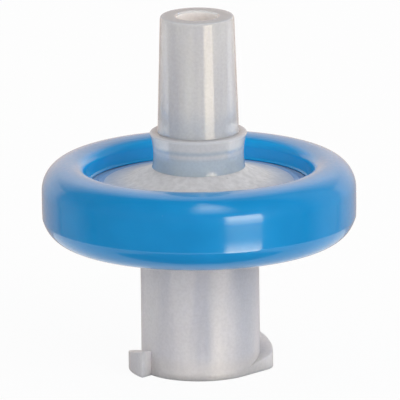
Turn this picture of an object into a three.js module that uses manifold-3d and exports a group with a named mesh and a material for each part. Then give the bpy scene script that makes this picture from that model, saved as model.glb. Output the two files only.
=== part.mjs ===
// Syringe filter for a 13 mm membrane, standing on its inlet.
//
// Two natural polypropylene housings clamp a membrane disc between their plates, and a
// coloured ring is moulded over the plates' rims to seal them.  The inlet is a female luer
// lock: a barrel with a tapered socket and two part-thread lugs.  The outlet is a male luer
// slip cone on a short collar.
//
// Millimetres, +Z up.  The origin is the centre of the inlet's end face.
import * as THREE from 'three';
import { mergeVertices } from 'three/addons/utils/BufferGeometryUtils.js';
import Module from 'manifold-3d';

const wasm = await Module();
wasm.setup();

// ---- driving dimensions --------------------------------------------------------------

// Membrane and the plates that clamp it
const MEMBRANE_DIAMETER = 13.0;
const MEMBRANE_THICKNESS = 0.18;
const CLAMP_WIDTH = 1.4; // band of the membrane held between the plates
const RIM_WIDTH = 0.6; // plate left outside the membrane
const INLET_PLATE = 0.98; // thickness at the rim
const OUTLET_PLATE = 0.87;
const CHAMBER_DEPTH = 0.35; // flow space on each side of the membrane
const SEAT_CLEARANCE = 0.02; // between any two pieces that seat on each other
const RIM_CHAMFER = 0.08;

// Female luer lock inlet
const INLET_REACH = 7.16; // how far the barrel stands out of the ring
const BARREL_DIAMETER = 6.42;
const BARREL_EDGE_ROUND = 0.08;
const BARREL_ROOT_FILLET = 0.3;
const LUER_TAPER = 0.06; // change of diameter for each unit of length
const SOCKET_MOUTH_DIAMETER = 4.3;
const SOCKET_MOUTH_CHAMFER = 0.15;
const SOCKET_FLOOR_WALL = 1.25; // between the socket's floor and the chamber
const SOCKET_FLOOR_FILLET = 0.25;
const INLET_PASSAGE_DIAMETER = 1.2;

// Lugs of the luer lock: parts of a right-hand thread
const LUG_SPAN = 7.83; // across both lugs
const LUG_COUNT = 2;
const LUG_HEIGHT = 0.95; // on the line through the middle of both lugs
const THREAD_LEAD = 5.0;
const LUG_TIP_ANGLE = -43; // degrees from the middle line, where the ramp leaves the barrel
const LUG_FULL_ANGLE = -8; // where the ramp would reach the full span
const LUG_CORNER_ANGLE = 6; // span of the round that blends the ramp into the full span
const LUG_END_ANGLE = 36; // the blunt end
const LUG_END_SKEW = 13; // how far the blunt end leans off the radius
const LUG_ROOT_DEPTH = 0.5; // how far a lug is carried into the barrel's wall

// Male luer slip outlet
const CONE_LENGTH = 6.4;
const CONE_TIP_DIAMETER = 4.02;
const CONE_TIP_ROUND_WIDTH = 0.11;
const CONE_TIP_ROUND_HEIGHT = 0.17;
const BORE_MOUTH_DIAMETER = 2.25;
const BORE_TAPER = 0.02; // change of diameter for each unit of length
const BORE_EDGE_CHAMFER = 0.05;
const BORE_FLOOR_WALL = 0.85; // between the bore's floor and the chamber
const BORE_FLOOR_FILLET = 0.25;
const OUTLET_PASSAGE_DIAMETER = 0.9;

// Collar under the cone, waisted like an hourglass
const COLLAR_HEIGHT = 1.95;
const COLLAR_TOP_DIAMETER = 5.25;
const COLLAR_WAIST_DIAMETER = 4.9;
const COLLAR_BASE_DIAMETER = 5.03;
const COLLAR_WAIST_HEIGHT = 0.72; // above the collar's base
const COLLAR_EDGE_ROUND = 0.1;

// Dished top of the outlet plate, from the collar down to a low step outside the chamber
const DISH_RISE = 0.87;
const DISH_MARGIN = 0.35; // dish carried past the chamber's edge
const PLATE_STEP = 0.16;
const PLATE_STEP_WIDTH = 0.1;

// Flow features inside the chamber
const SPREADER_RIB_COUNT = 8; // radial ribs on the inlet side
const SUPPORT_RIB_COUNT = 12; // radial ribs on the outlet side, which the membrane lies on
const RIB_WIDTH = 0.3;
const RIB_RELIEF = 0.05; // between a rib and the membrane
const RIB_START = 0.5; // from a passage's edge

// Ring moulded over the plates' rims
const RING_WALL = 1.38; // outside the plates' rims
const RING_DRAFT = 0.02; // the outer wall is this much slimmer at its top
const CROWN_HEIGHT = 1.505; // rounded top edge, above the straight wall
const SKIRT_HEIGHT = 1.27; // rounded lower edge, below the mould's parting line
const SKIRT_START_ANGLE = 22; // degrees off the wall, at the parting line
const SKIRT_START_PULL = 0.15; // how far the skirt keeps to that slope
const SKIRT_FULLNESS = 0.82; // share of its width that the skirt stays low
const LIP_OVERLAP = 1.12; // lip over the plates' rims
const OUTLET_LIP_HEIGHT = 1.265;
const INLET_LIP_HEIGHT = 1.13;
const LIP_EDGE = 0.05; // blunt edge where a lip ends on a plate
const LIP_FOOT_FILLET = 0.12;
const OUTLET_LIP_WIDTH = 1.05; // from the lip's edge out to its crest
const OUTLET_CREST_FALL = 0.65; // broad inner round of the crown, down from its crest
const OUTLET_LIP_LEAN = 0.04; // the lip's wall leans outwards by this much
const INLET_LIP_WIDTH = 0.72;
const INLET_CREST_ROUND = 0.45;

// Smoothness of the turned forms
const SEGMENTS = 64;
const LARGE_ARC_STEPS = 8;
const SMALL_ARC_STEPS = 3;

// ---- sizes that follow from them -----------------------------------------------------

const barrelRadius = BARREL_DIAMETER / 2;
const inletPassageRadius = INLET_PASSAGE_DIAMETER / 2;
const outletPassageRadius = OUTLET_PASSAGE_DIAMETER / 2;
const membraneRadius = MEMBRANE_DIAMETER / 2;
const chamberRadius = membraneRadius - CLAMP_WIDTH;
const dishRadius = chamberRadius + DISH_MARGIN;
const pocketRadius = membraneRadius + SEAT_CLEARANCE;
const rimRadius = membraneRadius + RIM_WIDTH;
const grooveRadius = rimRadius + SEAT_CLEARANCE;
const ringRadius = grooveRadius + RING_WALL;
const lipRadius = rimRadius - LIP_OVERLAP;
const crownRadius = lipRadius + OUTLET_LIP_WIDTH;
const skirtRadius = lipRadius + INLET_LIP_WIDTH;

// Heights, from the inlet's end face up
const ringBottom = INLET_REACH;
const lowerLipTop = ringBottom + INLET_LIP_HEIGHT;
const inletPlateBottom = lowerLipTop + SEAT_CLEARANCE;
const partingHeight = inletPlateBottom + INLET_PLATE;
const pocketFloor = partingHeight - MEMBRANE_THICKNESS - SEAT_CLEARANCE;
const inletChamberFloor = pocketFloor - CHAMBER_DEPTH;
const socketFloor = inletChamberFloor - SOCKET_FLOOR_WALL;
const outletPlateBottom = partingHeight + SEAT_CLEARANCE;
const outletChamberRoof = outletPlateBottom + CHAMBER_DEPTH;
const boreFloor = outletChamberRoof + BORE_FLOOR_WALL;
const outletPlateTop = outletPlateBottom + OUTLET_PLATE;
const upperLipBottom = outletPlateTop + SEAT_CLEARANCE;
const ringTop = upperLipBottom + OUTLET_LIP_HEIGHT;
const dishFloor = outletPlateTop + PLATE_STEP;
const collarBase = dishFloor + DISH_RISE;
const collarTop = collarBase + COLLAR_HEIGHT;
const coneTop = collarTop + CONE_LENGTH;

// ---- shape helpers -------------------------------------------------------------------

/** A point of a half-section: radius and height. */
function at(radius, height) {
  return new THREE.Vector2(radius, height);
}

/** Points along an elliptical arc of a half-section; angles in degrees, 0 pointing outwards. */
function arc(centre, radiusOut, radiusUp, from, to, steps) {
  return Array.from({ length: steps + 1 }, (_, step) => {
    const angle = THREE.MathUtils.degToRad(from + ((to - from) * step) / steps);
    return at(centre.x + radiusOut * Math.cos(angle), centre.y + radiusUp * Math.sin(angle));
  });
}

/** Points of a bow between two ends, whose slope grows evenly away from `flat`. */
function bow(flat, steep, steps) {
  return Array.from({ length: steps + 1 }, (_, step) => {
    const run = step / steps;
    return at(flat.x + (steep.x - flat.x) * run ** 2, flat.y + (steep.y - flat.y) * run);
  });
}

/** Turn a closed half-section about the Z axis; it runs outwards over the top, then back in. */
function revolve(section) {
  const loop = [...section, section[0].clone()];
  return new THREE.LatheGeometry(loop.reverse(), SEGMENTS).rotateX(Math.PI / 2);
}

/** Merge a geometry's shared vertices and drop the triangles that this makes empty. */
function weld(geometry) {
  geometry.deleteAttribute('normal');
  geometry.deleteAttribute('uv');
  const welded = mergeVertices(geometry, 1e-5);
  const { array } = welded.index;
  const kept = [];
  for (let i = 0; i < array.length; i += 3) {
    const [a, b, c] = array.slice(i, i + 3);
    if (a !== b && b !== c && c !== a) kept.push(a, b, c);
  }
  welded.setIndex(kept);
  return welded;
}

/** A closed geometry as a solid that can be joined and cut. */
function solid(geometry) {
  const welded = weld(geometry);
  return new wasm.Manifold(new wasm.Mesh({
    numProp: 3,
    vertProperties: new Float32Array(welded.attributes.position.array),
    triVerts: new Uint32Array(welded.index.array),
  }));
}

/** A solid back as a geometry with its own flat normals. */
function geometryOf(body) {
  const mesh = body.getMesh();
  const geometry = new THREE.BufferGeometry();
  geometry.setAttribute('position', new THREE.BufferAttribute(mesh.vertProperties, 3));
  geometry.setIndex(new THREE.BufferAttribute(mesh.triVerts, 1));
  geometry.computeVertexNormals();
  return geometry;
}

/** Boxes set round the axis like spokes, each reaching from one radius to another. */
function spokes(count, inner, outer, width, bottom, top) {
  return Array.from({ length: count }, (_, index) => {
    const spoke = new THREE.BoxGeometry(outer - inner, width, top - bottom);
    spoke.translate((inner + outer) / 2, 0, (bottom + top) / 2);
    return solid(spoke.rotateZ((index * 2 * Math.PI) / count));
  });
}

// ---- inlet housing -------------------------------------------------------------------

/** Radius of the tapered socket at a height above the inlet's end face. */
function socketRadius(height) {
  return (SOCKET_MOUTH_DIAMETER - LUER_TAPER * height) / 2;
}

/** Half-section of the membrane's pocket, the plate, the barrel and its socket. */
function inletSection() {
  const root = at(barrelRadius + BARREL_ROOT_FILLET, inletPlateBottom - BARREL_ROOT_FILLET);
  const edge = at(barrelRadius - BARREL_EDGE_ROUND, BARREL_EDGE_ROUND);
  const corner = at(socketRadius(socketFloor) - SOCKET_FLOOR_FILLET, socketFloor - SOCKET_FLOOR_FILLET);
  return [
    // chamber and pocket
    at(inletPassageRadius, inletChamberFloor),
    at(chamberRadius, inletChamberFloor),
    at(chamberRadius, pocketFloor),
    at(pocketRadius, pocketFloor),
    at(pocketRadius, partingHeight),
    // plate's rim and underside
    at(rimRadius, partingHeight),
    at(rimRadius, inletPlateBottom + RIM_CHAMFER),
    at(rimRadius - RIM_CHAMFER, inletPlateBottom),
    // barrel, down to its end face
    ...arc(root, BARREL_ROOT_FILLET, BARREL_ROOT_FILLET, 90, 180, SMALL_ARC_STEPS),
    ...arc(edge, BARREL_EDGE_ROUND, BARREL_EDGE_ROUND, 0, -90, SMALL_ARC_STEPS),
    // socket, from its mouth up to the floor
    at(socketRadius(0) + SOCKET_MOUTH_CHAMFER, 0),
    at(socketRadius(SOCKET_MOUTH_CHAMFER), SOCKET_MOUTH_CHAMFER),
    ...arc(corner, SOCKET_FLOOR_FILLET, SOCKET_FLOOR_FILLET, 0, 90, SMALL_ARC_STEPS),
    at(inletPassageRadius, socketFloor),
  ];
}

/** Plan outline of one lug: a ramp off the barrel, a stretch at full span and a blunt end. */
function lugOutline() {
  const turn = THREE.MathUtils.degToRad;
  const crest = LUG_SPAN / 2;
  const foot = barrelRadius - LUG_ROOT_DEPTH;
  const fromAxis = (radius, angle) => at(radius * Math.cos(turn(angle)), radius * Math.sin(turn(angle)));
  const skewAtFoot = ((crest - foot) * Math.tan(turn(LUG_END_SKEW))) / foot;
  const footEnd = LUG_END_ANGLE - THREE.MathUtils.radToDeg(skewAtFoot);
  const ramp = fromAxis(barrelRadius, LUG_TIP_ANGLE);
  const corner = fromAxis(crest, LUG_FULL_ANGLE);
  const blendStart = ramp.clone().lerp(corner, 1 - LUG_CORNER_ANGLE / (LUG_FULL_ANGLE - LUG_TIP_ANGLE));
  const blendEnd = fromAxis(crest, LUG_FULL_ANGLE + LUG_CORNER_ANGLE);
  const outline = new THREE.Shape([fromAxis(foot, LUG_TIP_ANGLE), ramp, blendStart]);
  outline.quadraticCurveTo(corner.x, corner.y, blendEnd.x, blendEnd.y);
  outline.absarc(0, 0, crest, turn(LUG_FULL_ANGLE + LUG_CORNER_ANGLE), turn(LUG_END_ANGLE), false);
  outline.absarc(0, 0, foot, turn(footEnd), turn(LUG_TIP_ANGLE), true);
  return outline;
}

/** One lug: the outline raised to a thread's helical flank, flush with the end face below. */
function lug(index) {
  const settings = { depth: 1, bevelEnabled: false, curveSegments: LARGE_ARC_STEPS };
  const geometry = new THREE.ExtrudeGeometry(lugOutline(), settings);
  const { position } = geometry.attributes;
  for (let i = 0; i < position.count; i += 1) {
    const turns = Math.atan2(position.getY(i), position.getX(i)) / (2 * Math.PI);
    position.setZ(i, position.getZ(i) * (LUG_HEIGHT + THREAD_LEAD * turns));
  }
  return solid(geometry.rotateZ((index * 2 * Math.PI) / LUG_COUNT));
}

/** Ribs that hold the membrane off the inlet side's floor and spread the flow outwards. */
function spreaderRibs() {
  const inner = inletPassageRadius + RIB_START;
  const outer = chamberRadius + RIB_WIDTH;
  const bottom = inletChamberFloor - RIB_WIDTH;
  return spokes(SPREADER_RIB_COUNT, inner, outer, RIB_WIDTH, bottom, pocketFloor - RIB_RELIEF);
}

function inletHousing() {
  let body = solid(revolve(inletSection()));
  for (let index = 0; index < LUG_COUNT; index += 1) body = body.add(lug(index));
  for (const rib of spreaderRibs()) body = body.add(rib);
  return geometryOf(body);
}

// ---- outlet housing ------------------------------------------------------------------

/** Radius of the bore at a height. */
function boreRadius(height) {
  return (BORE_MOUTH_DIAMETER - BORE_TAPER * (coneTop - height)) / 2;
}

/** Ribs that the membrane lies on, with the way to the outlet's passage between them. */
function supportRibs() {
  const inner = outletPassageRadius + RIB_START;
  const outer = chamberRadius + RIB_WIDTH;
  const bottom = outletPlateBottom + RIB_RELIEF;
  return spokes(SUPPORT_RIB_COUNT, inner, outer, RIB_WIDTH, bottom, outletChamberRoof + RIB_WIDTH);
}

/** Half-section of the collar's side: a rounded edge and a waist. */
function collarSide() {
  const topRadius = COLLAR_TOP_DIAMETER / 2;
  const edge = at(topRadius - COLLAR_EDGE_ROUND, collarTop - COLLAR_EDGE_ROUND);
  const waist = at(COLLAR_WAIST_DIAMETER / 2, collarBase + COLLAR_WAIST_HEIGHT);
  const base = at(COLLAR_BASE_DIAMETER / 2, collarBase);
  return [
    ...arc(edge, COLLAR_EDGE_ROUND, COLLAR_EDGE_ROUND, 90, 0, SMALL_ARC_STEPS),
    ...bow(waist, at(topRadius, edge.y), SMALL_ARC_STEPS).reverse().slice(1, -1),
    ...bow(waist, base, SMALL_ARC_STEPS),
  ];
}

/** Half-section of the dished top of the plate, steep at the collar and flat at its foot. */
function dish() {
  const inner = COLLAR_BASE_DIAMETER / 2;
  return Array.from({ length: LARGE_ARC_STEPS }, (_, step) => {
    const run = (step + 1) / LARGE_ARC_STEPS;
    return at(inner + (dishRadius - inner) * run, dishFloor + DISH_RISE * (1 - run) ** 2);
  });
}

/** Half-section of the bore, the cone, the collar and the plate. */
function outletSection() {
  const tipRadius = CONE_TIP_DIAMETER / 2;
  const mouth = coneTop - BORE_EDGE_CHAMFER;
  const corner = at(boreRadius(boreFloor) - BORE_FLOOR_FILLET, boreFloor + BORE_FLOOR_FILLET);
  const tipRound = at(tipRadius - CONE_TIP_ROUND_WIDTH, coneTop - CONE_TIP_ROUND_HEIGHT);
  return [
    // bore, from its floor up to its mouth
    at(outletPassageRadius, boreFloor),
    ...arc(corner, BORE_FLOOR_FILLET, BORE_FLOOR_FILLET, -90, 0, SMALL_ARC_STEPS),
    at(boreRadius(mouth), mouth),
    at(boreRadius(coneTop) + BORE_EDGE_CHAMFER, coneTop),
    // tip and cone
    ...arc(tipRound, CONE_TIP_ROUND_WIDTH, CONE_TIP_ROUND_HEIGHT, 90, 0, SMALL_ARC_STEPS),
    at(tipRadius + (LUER_TAPER * CONE_LENGTH) / 2, collarTop),
    ...collarSide(),
    ...dish(),
    // plate, out to its rim and back under
    at(dishRadius + PLATE_STEP_WIDTH, outletPlateTop),
    at(rimRadius - RIM_CHAMFER, outletPlateTop),
    at(rimRadius, outletPlateTop - RIM_CHAMFER),
    at(rimRadius, outletPlateBottom),
    at(chamberRadius, outletPlateBottom),
    at(chamberRadius, outletChamberRoof),
    at(outletPassageRadius, outletChamberRoof),
  ];
}

function outletHousing() {
  let body = solid(revolve(outletSection()));
  for (const rib of supportRibs()) body = body.add(rib);
  return geometryOf(body);
}

// ---- membrane ------------------------------------------------------------------------

function membrane() {
  const disc = new THREE.CylinderGeometry(membraneRadius, membraneRadius, MEMBRANE_THICKNESS, SEGMENTS);
  return weld(disc.rotateX(Math.PI / 2).translate(0, 0, partingHeight - MEMBRANE_THICKNESS / 2));
}

// ---- ring ----------------------------------------------------------------------------

/** Half-section of the crown, from the upper lip's edge over the crest to the outer wall. */
function ringCrown() {
  const foot = at(lipRadius, upperLipBottom + LIP_EDGE + LIP_FOOT_FILLET);
  const crest = at(crownRadius, ringTop - OUTLET_CREST_FALL);
  const innerWidth = OUTLET_LIP_WIDTH - LIP_FOOT_FILLET - OUTLET_LIP_LEAN;
  const wallTop = at(crownRadius, ringTop - CROWN_HEIGHT);
  const outerWidth = ringRadius - RING_DRAFT - crownRadius;
  return [
    at(lipRadius, upperLipBottom),
    ...arc(foot, LIP_FOOT_FILLET, LIP_FOOT_FILLET, -90, 0, SMALL_ARC_STEPS),
    ...arc(crest, innerWidth, OUTLET_CREST_FALL, 180, 90, LARGE_ARC_STEPS).slice(0, -1),
    ...arc(wallTop, outerWidth, CROWN_HEIGHT, 90, 0, LARGE_ARC_STEPS),
  ];
}

/** Half-section of the skirt, from the parting line over the lowest point to the lower lip's edge. */
function ringSkirt() {
  const foot = at(lipRadius, lowerLipTop - LIP_EDGE - LIP_FOOT_FILLET);
  const crest = at(skirtRadius, ringBottom + INLET_CREST_ROUND);
  const start = THREE.MathUtils.degToRad(SKIRT_START_ANGLE);
  const corner = at(ringRadius, ringBottom + SKIRT_HEIGHT);
  const slope = at(-Math.sin(start), -Math.cos(start));
  const pull = corner.clone().addScaledVector(slope, SKIRT_START_PULL);
  const low = at(skirtRadius + (ringRadius - skirtRadius) * SKIRT_FULLNESS, ringBottom);
  const sweep = new THREE.CubicBezierCurve(corner, pull, low, at(skirtRadius, ringBottom));
  return [
    ...sweep.getPoints(LARGE_ARC_STEPS),
    ...arc(crest, INLET_CREST_ROUND, INLET_CREST_ROUND, -90, -160, SMALL_ARC_STEPS).slice(1),
    ...arc(foot, LIP_FOOT_FILLET, LIP_FOOT_FILLET, 20, 90, SMALL_ARC_STEPS),
    at(lipRadius, lowerLipTop),
  ];
}

/** The ring, with the groove that holds both plates' rims. */
function overmouldRing() {
  const groove = [at(grooveRadius, lowerLipTop), at(grooveRadius, upperLipBottom)];
  return weld(revolve([...ringCrown(), ...ringSkirt(), ...groove]));
}

// ---- materials and assembly ----------------------------------------------------------

const naturalPolypropylene = {
  color: 0xd3d5d9,
  roughness: 0.38,
  metalness: 0,
  transparent: true,
  opacity: 0.75,
};
const bluePolypropylene = { color: 0x0f82c6, roughness: 0.36, metalness: 0 };
const whiteMembrane = { color: 0xf2f2ee, roughness: 0.9, metalness: 0 };

function piece(name, geometry, finish) {
  const mesh = new THREE.Mesh(geometry, new THREE.MeshStandardMaterial(finish));
  mesh.name = name;
  return mesh;
}

const syringeFilter = new THREE.Group();
syringeFilter.add(
  piece('inlet_housing', inletHousing(), naturalPolypropylene),
  piece('outlet_housing', outletHousing(), naturalPolypropylene),
  piece('membrane', membrane(), whiteMembrane),
  piece('overmould_ring', overmouldRing(), bluePolypropylene),
);

export default syringeFilter;
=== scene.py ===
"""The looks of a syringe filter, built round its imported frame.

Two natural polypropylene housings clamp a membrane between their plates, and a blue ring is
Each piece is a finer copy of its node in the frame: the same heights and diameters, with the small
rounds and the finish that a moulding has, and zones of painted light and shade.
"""

import logging
import math
from collections.abc import Callable, Sequence
from dataclasses import dataclass, field, replace
from enum import Enum
from functools import cached_property

import bmesh
import bpy
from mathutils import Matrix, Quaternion, Vector


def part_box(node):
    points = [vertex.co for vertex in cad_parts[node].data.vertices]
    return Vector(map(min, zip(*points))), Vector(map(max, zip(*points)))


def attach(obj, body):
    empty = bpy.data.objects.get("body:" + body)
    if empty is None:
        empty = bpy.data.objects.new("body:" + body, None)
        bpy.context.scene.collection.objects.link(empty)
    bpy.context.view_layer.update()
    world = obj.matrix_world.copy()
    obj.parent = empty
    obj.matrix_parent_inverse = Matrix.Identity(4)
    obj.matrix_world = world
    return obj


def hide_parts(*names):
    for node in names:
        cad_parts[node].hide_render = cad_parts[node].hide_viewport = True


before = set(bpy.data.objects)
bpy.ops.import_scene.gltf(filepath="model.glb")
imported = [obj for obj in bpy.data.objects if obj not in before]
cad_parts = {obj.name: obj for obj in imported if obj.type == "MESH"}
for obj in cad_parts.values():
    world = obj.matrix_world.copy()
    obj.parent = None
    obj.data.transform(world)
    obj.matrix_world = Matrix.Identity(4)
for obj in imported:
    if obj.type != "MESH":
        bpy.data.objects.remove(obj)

Point = tuple[float, float]
Colour = tuple[float, float, float]
Node = bpy.types.Node
Socket = bpy.types.NodeSocket
Object = bpy.types.Object

MM = 0.001
WELD = 0.0001 * MM
COINCIDENT = 0.00001 * MM
TURN = math.tau
PLASTIC_IOR = 1.49
WHITE: Colour = (1.0, 1.0, 1.0)
# Spans of a noise pattern's values, which lie around a half.
NARROW: Point = (0.35, 0.65)
WIDE: Point = (0.3, 0.7)
LOG = logging.getLogger("syringe_filter")


# ---- drawing half-sections ------------------------------------------------------------------


class Section:
    """A half-section being drawn, as points of radius and height in metres."""

    def __init__(self) -> None:
        """Start with no points."""
        self.points: list[Point] = []

    def to(self, radius: float, height: float) -> "Section":
        """Go straight to a radius and height, and return the section so that calls can be chained."""
        self.points.append((radius, height))
        return self

    def along(self, curve: Callable[[float], Point], steps: int) -> "Section":
        """Follow a curve, given by share of the way, in a number of stretches."""
        self.points.extend(curve(step / steps) for step in range(steps + 1))
        return self

    def arc(self, centre: Point, reach: Point, angles: Point, steps: int) -> "Section":
        """Follow an elliptical arc.

        Args:
            centre: Centre of the arc.
            reach: Half-widths of the ellipse, outwards and upwards.
            angles: First and last angle in degrees, where 0 points outwards.
            steps: Number of stretches.

        Returns:
            The same section.
        """

        def curve(share: float) -> Point:
            """Find the point a share of the way round."""
            angle = math.radians(angles[0] + (angles[1] - angles[0]) * share)
            return centre[0] + reach[0] * math.cos(angle), centre[1] + reach[1] * math.sin(angle)

        return self.along(curve, steps)

    def softened(self, rounding: float = 0.03 * MM, sharp: float = 28.0, most: float = 0.4,
                 steps: int = 4) -> list[Point]:
        """Round the corners of the closed section.

        Args:
            rounding: Length that a corner loses on each side.
            sharp: Turn in degrees from which a corner is rounded.
            most: Largest share of a side that a corner takes.
            steps: Number of stretches in a rounded corner.

        Returns:
            The section's points, with a short curve at each corner.
        """
        outline = [Vector(point) for point in self.points]
        corners = [here for before, here in zip(outline[-1:] + outline[:-1], outline)
                   if (here - before).length > COINCIDENT]
        soft: list[Point] = []
        for before, corner, after in zip(corners[-1:] + corners[:-1], corners, corners[1:] + corners[:1]):
            arriving, leaving = corner - before, after - corner
            if math.degrees(arriving.angle(leaving)) < sharp:
                soft.append(tuple(corner))
                continue
            start = corner - arriving.normalized() * min(rounding, arriving.length * most)
            end = corner + leaving.normalized() * min(rounding, leaving.length * most)
            soft.extend(tuple(bend(start, corner, end, step / steps)) for step in range(steps + 1))
        return soft


def bend(start: Vector, corner: Vector, end: Vector, share: float) -> Vector:
    """Find the point a share of the way round a corner, from the start on one side to the end."""
    return start.lerp(corner, share).lerp(corner.lerp(end, share), share)


def around(radius: float, angle: float) -> Vector:
    """Find the plan point at a distance from the axis and an angle in degrees from +X."""
    return Vector((radius * math.cos(math.radians(angle)), radius * math.sin(math.radians(angle))))


# ---- geometry node trees --------------------------------------------------------------------


class NodeBench:
    """Adds nodes to a tree and wires them."""

    def __init__(self, tree: bpy.types.NodeTree) -> None:
        """Work on a tree."""
        self.tree = tree

    @cached_property
    def place(self) -> Socket:
        """Object coordinates of the point that is shaded."""
        return self.out("ShaderNodeTexCoord", None, "Object")

    def add(self, kind: str, wires: dict | None = None, **settings: object) -> Node:
        """Add a node.

        Args:
            kind: Type of the node.
            wires: Value or output socket for each input, by its name or number.
            settings: Properties of the node.

        Returns:
            The new node.
        """
        node = self.tree.nodes.new(kind)
        for name, value in settings.items():
            setattr(node, name, value)
        for key, value in (wires or {}).items():
            if isinstance(value, Socket):
                self.tree.links.new(value, node.inputs[key])
            else:
                node.inputs[key].default_value = value
        return node

    def out(self, kind: str, wires: dict | None = None, output: int | str = 0,
            **settings: object) -> Socket:
        """Add a node and return one of its outputs."""
        return self.add(kind, wires, **settings).outputs[output]

    def math(self, operation: str, *values: float | Socket) -> Socket:
        """Add a calculation and return the output that carries its result."""
        return self.out("ShaderNodeMath", dict(enumerate(values)), operation=operation)

    def polar(self, place: Socket) -> tuple[Socket, Socket]:
        """Split a place.

        Args:
            place: Output that carries the place.

        Returns:
            Its distance from the axis and its height.
        """
        flat = self.out("ShaderNodeVectorMath", {0: place, 1: (1.0, 1.0, 0.0)}, operation="MULTIPLY")
        away = self.out("ShaderNodeVectorMath", {0: flat}, "Value", operation="LENGTH")
        return away, self.out("ShaderNodeSeparateXYZ", {0: place}, "Z")

    def spanned(self, value: Socket, source: Point, target: Point) -> Socket:
        """Carry a value from its source range to a target range, and hold it inside."""
        wires = {"Value": value, "From Min": source[0], "From Max": source[1],
                 "To Min": target[0], "To Max": target[1]}
        return self.out("ShaderNodeMapRange", wires, "Result")

    def blended(self, share: Socket, first: Colour | Socket, second: Colour) -> Socket:
        """Blend two colours.

        Args:
            share: Share of the second colour.
            first: First colour, or the output that carries it.
            second: Second colour.

        Returns:
            The blended colour.
        """
        under = first if isinstance(first, Socket) else (*first, 1.0)
        wires = {"Factor": share, 6: under, 7: (*second, 1.0)}
        return self.out("ShaderNodeMix", wires, 2, data_type="RGBA")

    def patched(self, pattern: Socket, span: Point, strength: float, first: Colour | Socket,
                second: Colour) -> Socket:
        """Let the second colour in over a span of a pattern's values, up to a share of it."""
        return self.blended(self.spanned(pattern, span, (0.0, strength)), first, second)

    def scaled(self, *per_mm: float) -> Socket:
        """Scale the place to features for each millimetre along X, Y and Z."""
        wires = {"Vector": self.place, "Scale": tuple(rate / MM for rate in per_mm)}
        return self.out("ShaderNodeMapping", wires)

    def noise(self, *per_mm: float, detail: float = 2.0) -> Socket:
        """Add noise around a half, with so many features a millimetre along X, Y and Z."""
        wires = {"Vector": self.scaled(*per_mm), "Scale": 1.0, "Detail": detail}
        return self.out("ShaderNodeTexNoise", wires, "Fac")

    def specks(self, per_mm: float, reach: Point, kept: Point, strength: float) -> Socket:
        """Scatter small specks.

        Args:
            per_mm: Cells for each millimetre, each with room for one speck.
            reach: Distances from a cell's middle between which its speck fades.
            kept: Span of a cell's own value from none of its speck to all of it.
            strength: Share of the speck's colour in its middle.

        Returns:
            The share of the specks' colour.
        """
        wires = {"Vector": self.scaled(per_mm, per_mm, per_mm), "Scale": 1.0}
        cells = self.add("ShaderNodeTexVoronoi", wires).outputs
        spot = self.spanned(cells["Distance"], reach, (1.0, 0.0))
        return self.math("MULTIPLY", spot, self.spanned(cells["Color"], kept, (0.0, strength)))

    def bump(self, height: Socket, strength: float, depth: float) -> Socket:
        """Turn a height pattern into a normal."""
        return self.out("ShaderNodeBump", {"Height": height, "Strength": strength, "Distance": depth})


class TurnedTree:
    """A geometry node tree that turns the outline among its modifier's inputs into a solid."""

    INPUTS = {"Outline": "Object", "Facets": "Int", "Crease": "Float", "Finish": "Material"}

    def __init__(self, name: str) -> None:
        """Build the tree.

        Args:
            name: Name of the node group.
        """
        self.tree = bpy.data.node_groups.new(name, "GeometryNodeTree")
        self.bench = NodeBench(self.tree)
        self.tree.interface.new_socket("Solid", in_out="OUTPUT", socket_type="NodeSocketGeometry")
        for label, kind in self.INPUTS.items():
            self.tree.interface.new_socket(label, in_out="INPUT", socket_type=f"NodeSocket{kind}")
        self.given = self.bench.add("NodeGroupInput").outputs
        self.finish(self.shape())

    def shape(self) -> Socket:
        """Turn the outline about the Z axis.

        Returns:
            The output that carries the solid, closed where it meets the axis.
        """
        out = self.bench.out
        drawn = out("GeometryNodeObjectInfo", {"Object": self.given["Outline"]}, "Geometry")
        path = out("GeometryNodeCurvePrimitiveCircle", {"Resolution": self.given["Facets"], "Radius": MM})
        wires = {"Curve": path, "Profile Curve": out("GeometryNodeMeshToCurve", {0: drawn})}
        outward = out("GeometryNodeFlipFaces", {0: out("GeometryNodeCurveToMesh", wires)})
        return out("GeometryNodeMergeByDistance", {0: outward, "Distance": WELD})

    def finish(self, solid: Socket) -> None:
        """Realize the solid, smooth it up to its creases and give it its material.

        Args:
            solid: Output that carries the solid.
        """
        out = self.bench.out
        real = out("GeometryNodeRealizeInstances", {0: solid})
        smooth = out("GeometryNodeSetShadeSmooth", {0: real}, domain="FACE")
        fold = out("GeometryNodeInputMeshEdgeAngle", None, "Unsigned Angle")
        sharp = out("FunctionNodeCompare", {0: fold, 1: self.given["Crease"]}, operation="GREATER_THAN")
        wires = {0: smooth, "Selection": sharp, "Shade Smooth": False}
        creased = out("GeometryNodeSetShadeSmooth", wires, domain="EDGE")
        painted = out("GeometryNodeSetMaterial", {0: creased, "Material": self.given["Finish"]})
        self.bench.add("NodeGroupOutput", {0: self.dressed(painted)})

    def dressed(self, painted: Socket) -> Socket:
        """Give a part of the solid another material, and return the output that carries it."""
        return painted

    def make(self, name: str, **values: object) -> Object:
        """Make a piece with the tree.

        Args:
            name: Name of the piece.
            values: The tree's inputs by name, with underscores for spaces.

        Returns:
            A plain mesh object, with no modifier left.
        """
        piece = linked(name, bpy.data.meshes.new(name))
        modifier = piece.modifiers.new("tree", "NODES")
        modifier.node_group = self.tree
        for item in self.tree.interface.items_tree:
            label = item.name.replace(" ", "_")
            if item.in_out == "INPUT" and label in values:
                modifier[item.identifier] = values[label]
        graph = bpy.context.evaluated_depsgraph_get()
        solid = bpy.data.meshes.new_from_object(piece.evaluated_get(graph))
        piece.modifiers.remove(modifier)
        piece.data = solid
        solid.name = name
        return piece


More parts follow.
